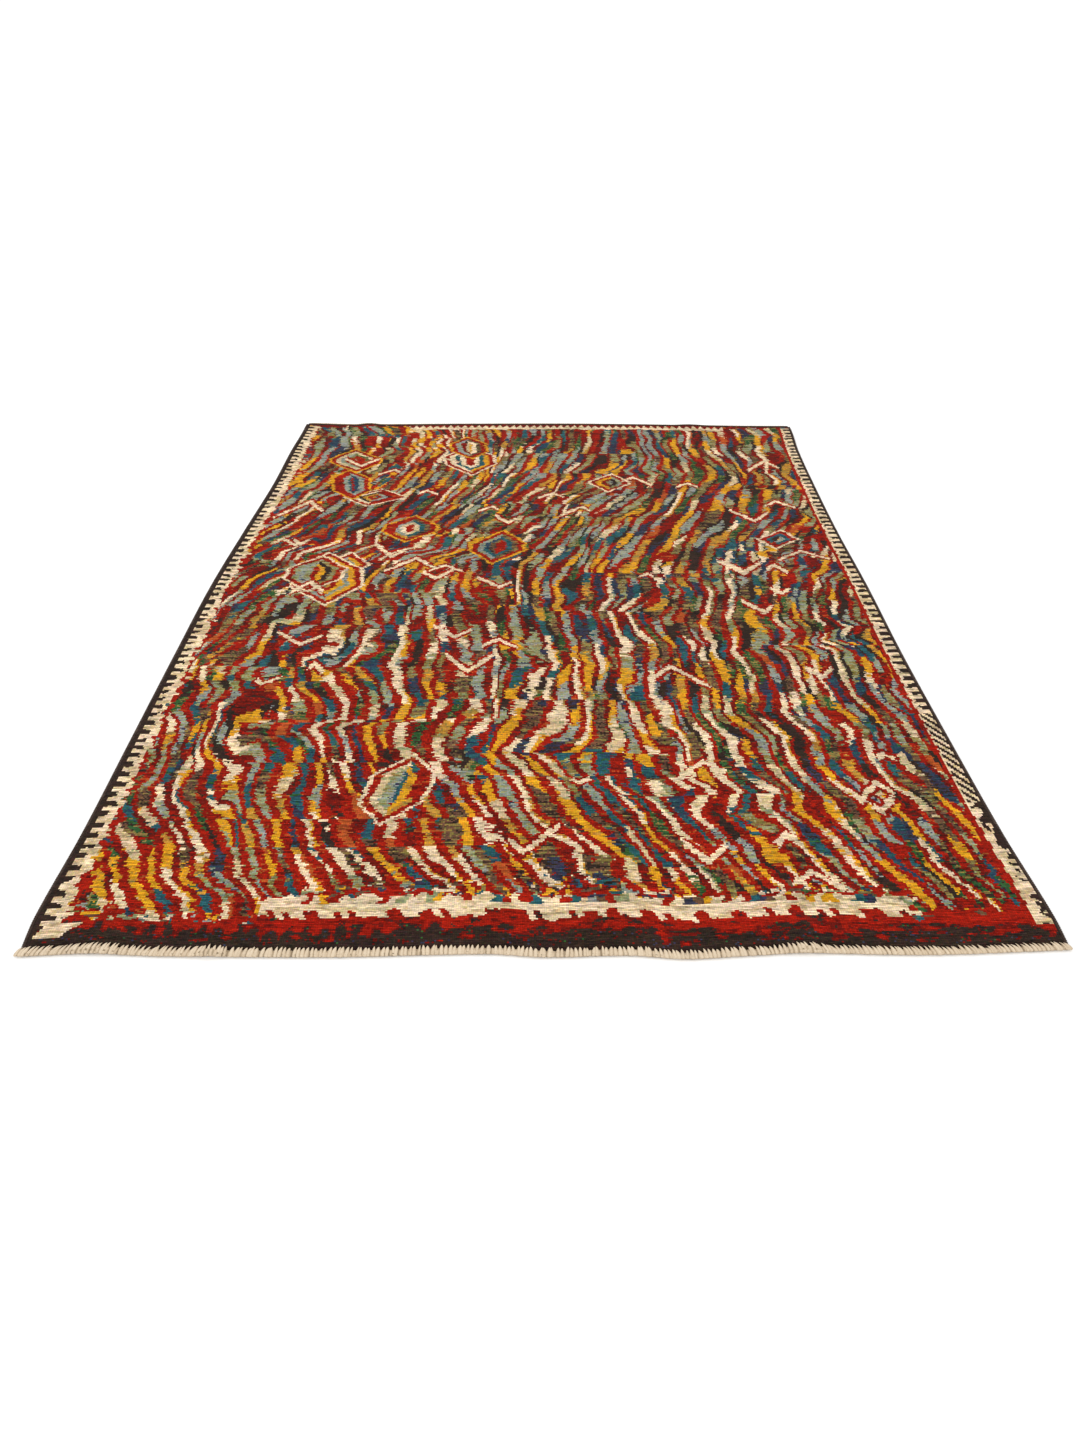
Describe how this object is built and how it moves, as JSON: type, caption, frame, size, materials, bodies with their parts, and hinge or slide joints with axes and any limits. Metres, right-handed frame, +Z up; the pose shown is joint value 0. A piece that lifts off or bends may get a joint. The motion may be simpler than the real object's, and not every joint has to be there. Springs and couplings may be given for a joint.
{
  "type": "hand-knotted rug",
  "caption": "Hand-knotted wool rug lying flat, with a toothed cream border in red and brown, overcast sides and plaited cream ends",
  "frame": {"origin": "middle of the footprint, on the floor", "axes": "+Z up from the floor; +Y along the rug's length, from the near end towards the far end; +X across it"},
  "size_m": [2.0528, 2.995, 0.019],
  "materials": {
    "pile_wool": "matte",
    "side_wool": "matte",
    "warp_wool": "matte"
  },
  "bodies": {
    "root": {"knotted_body": "pile_wool", "selvedge_left": "side_wool", "selvedge_right": "side_wool", "plait_near": "warp_wool", "plait_far": "warp_wool"}
  },
  "joints": []
}
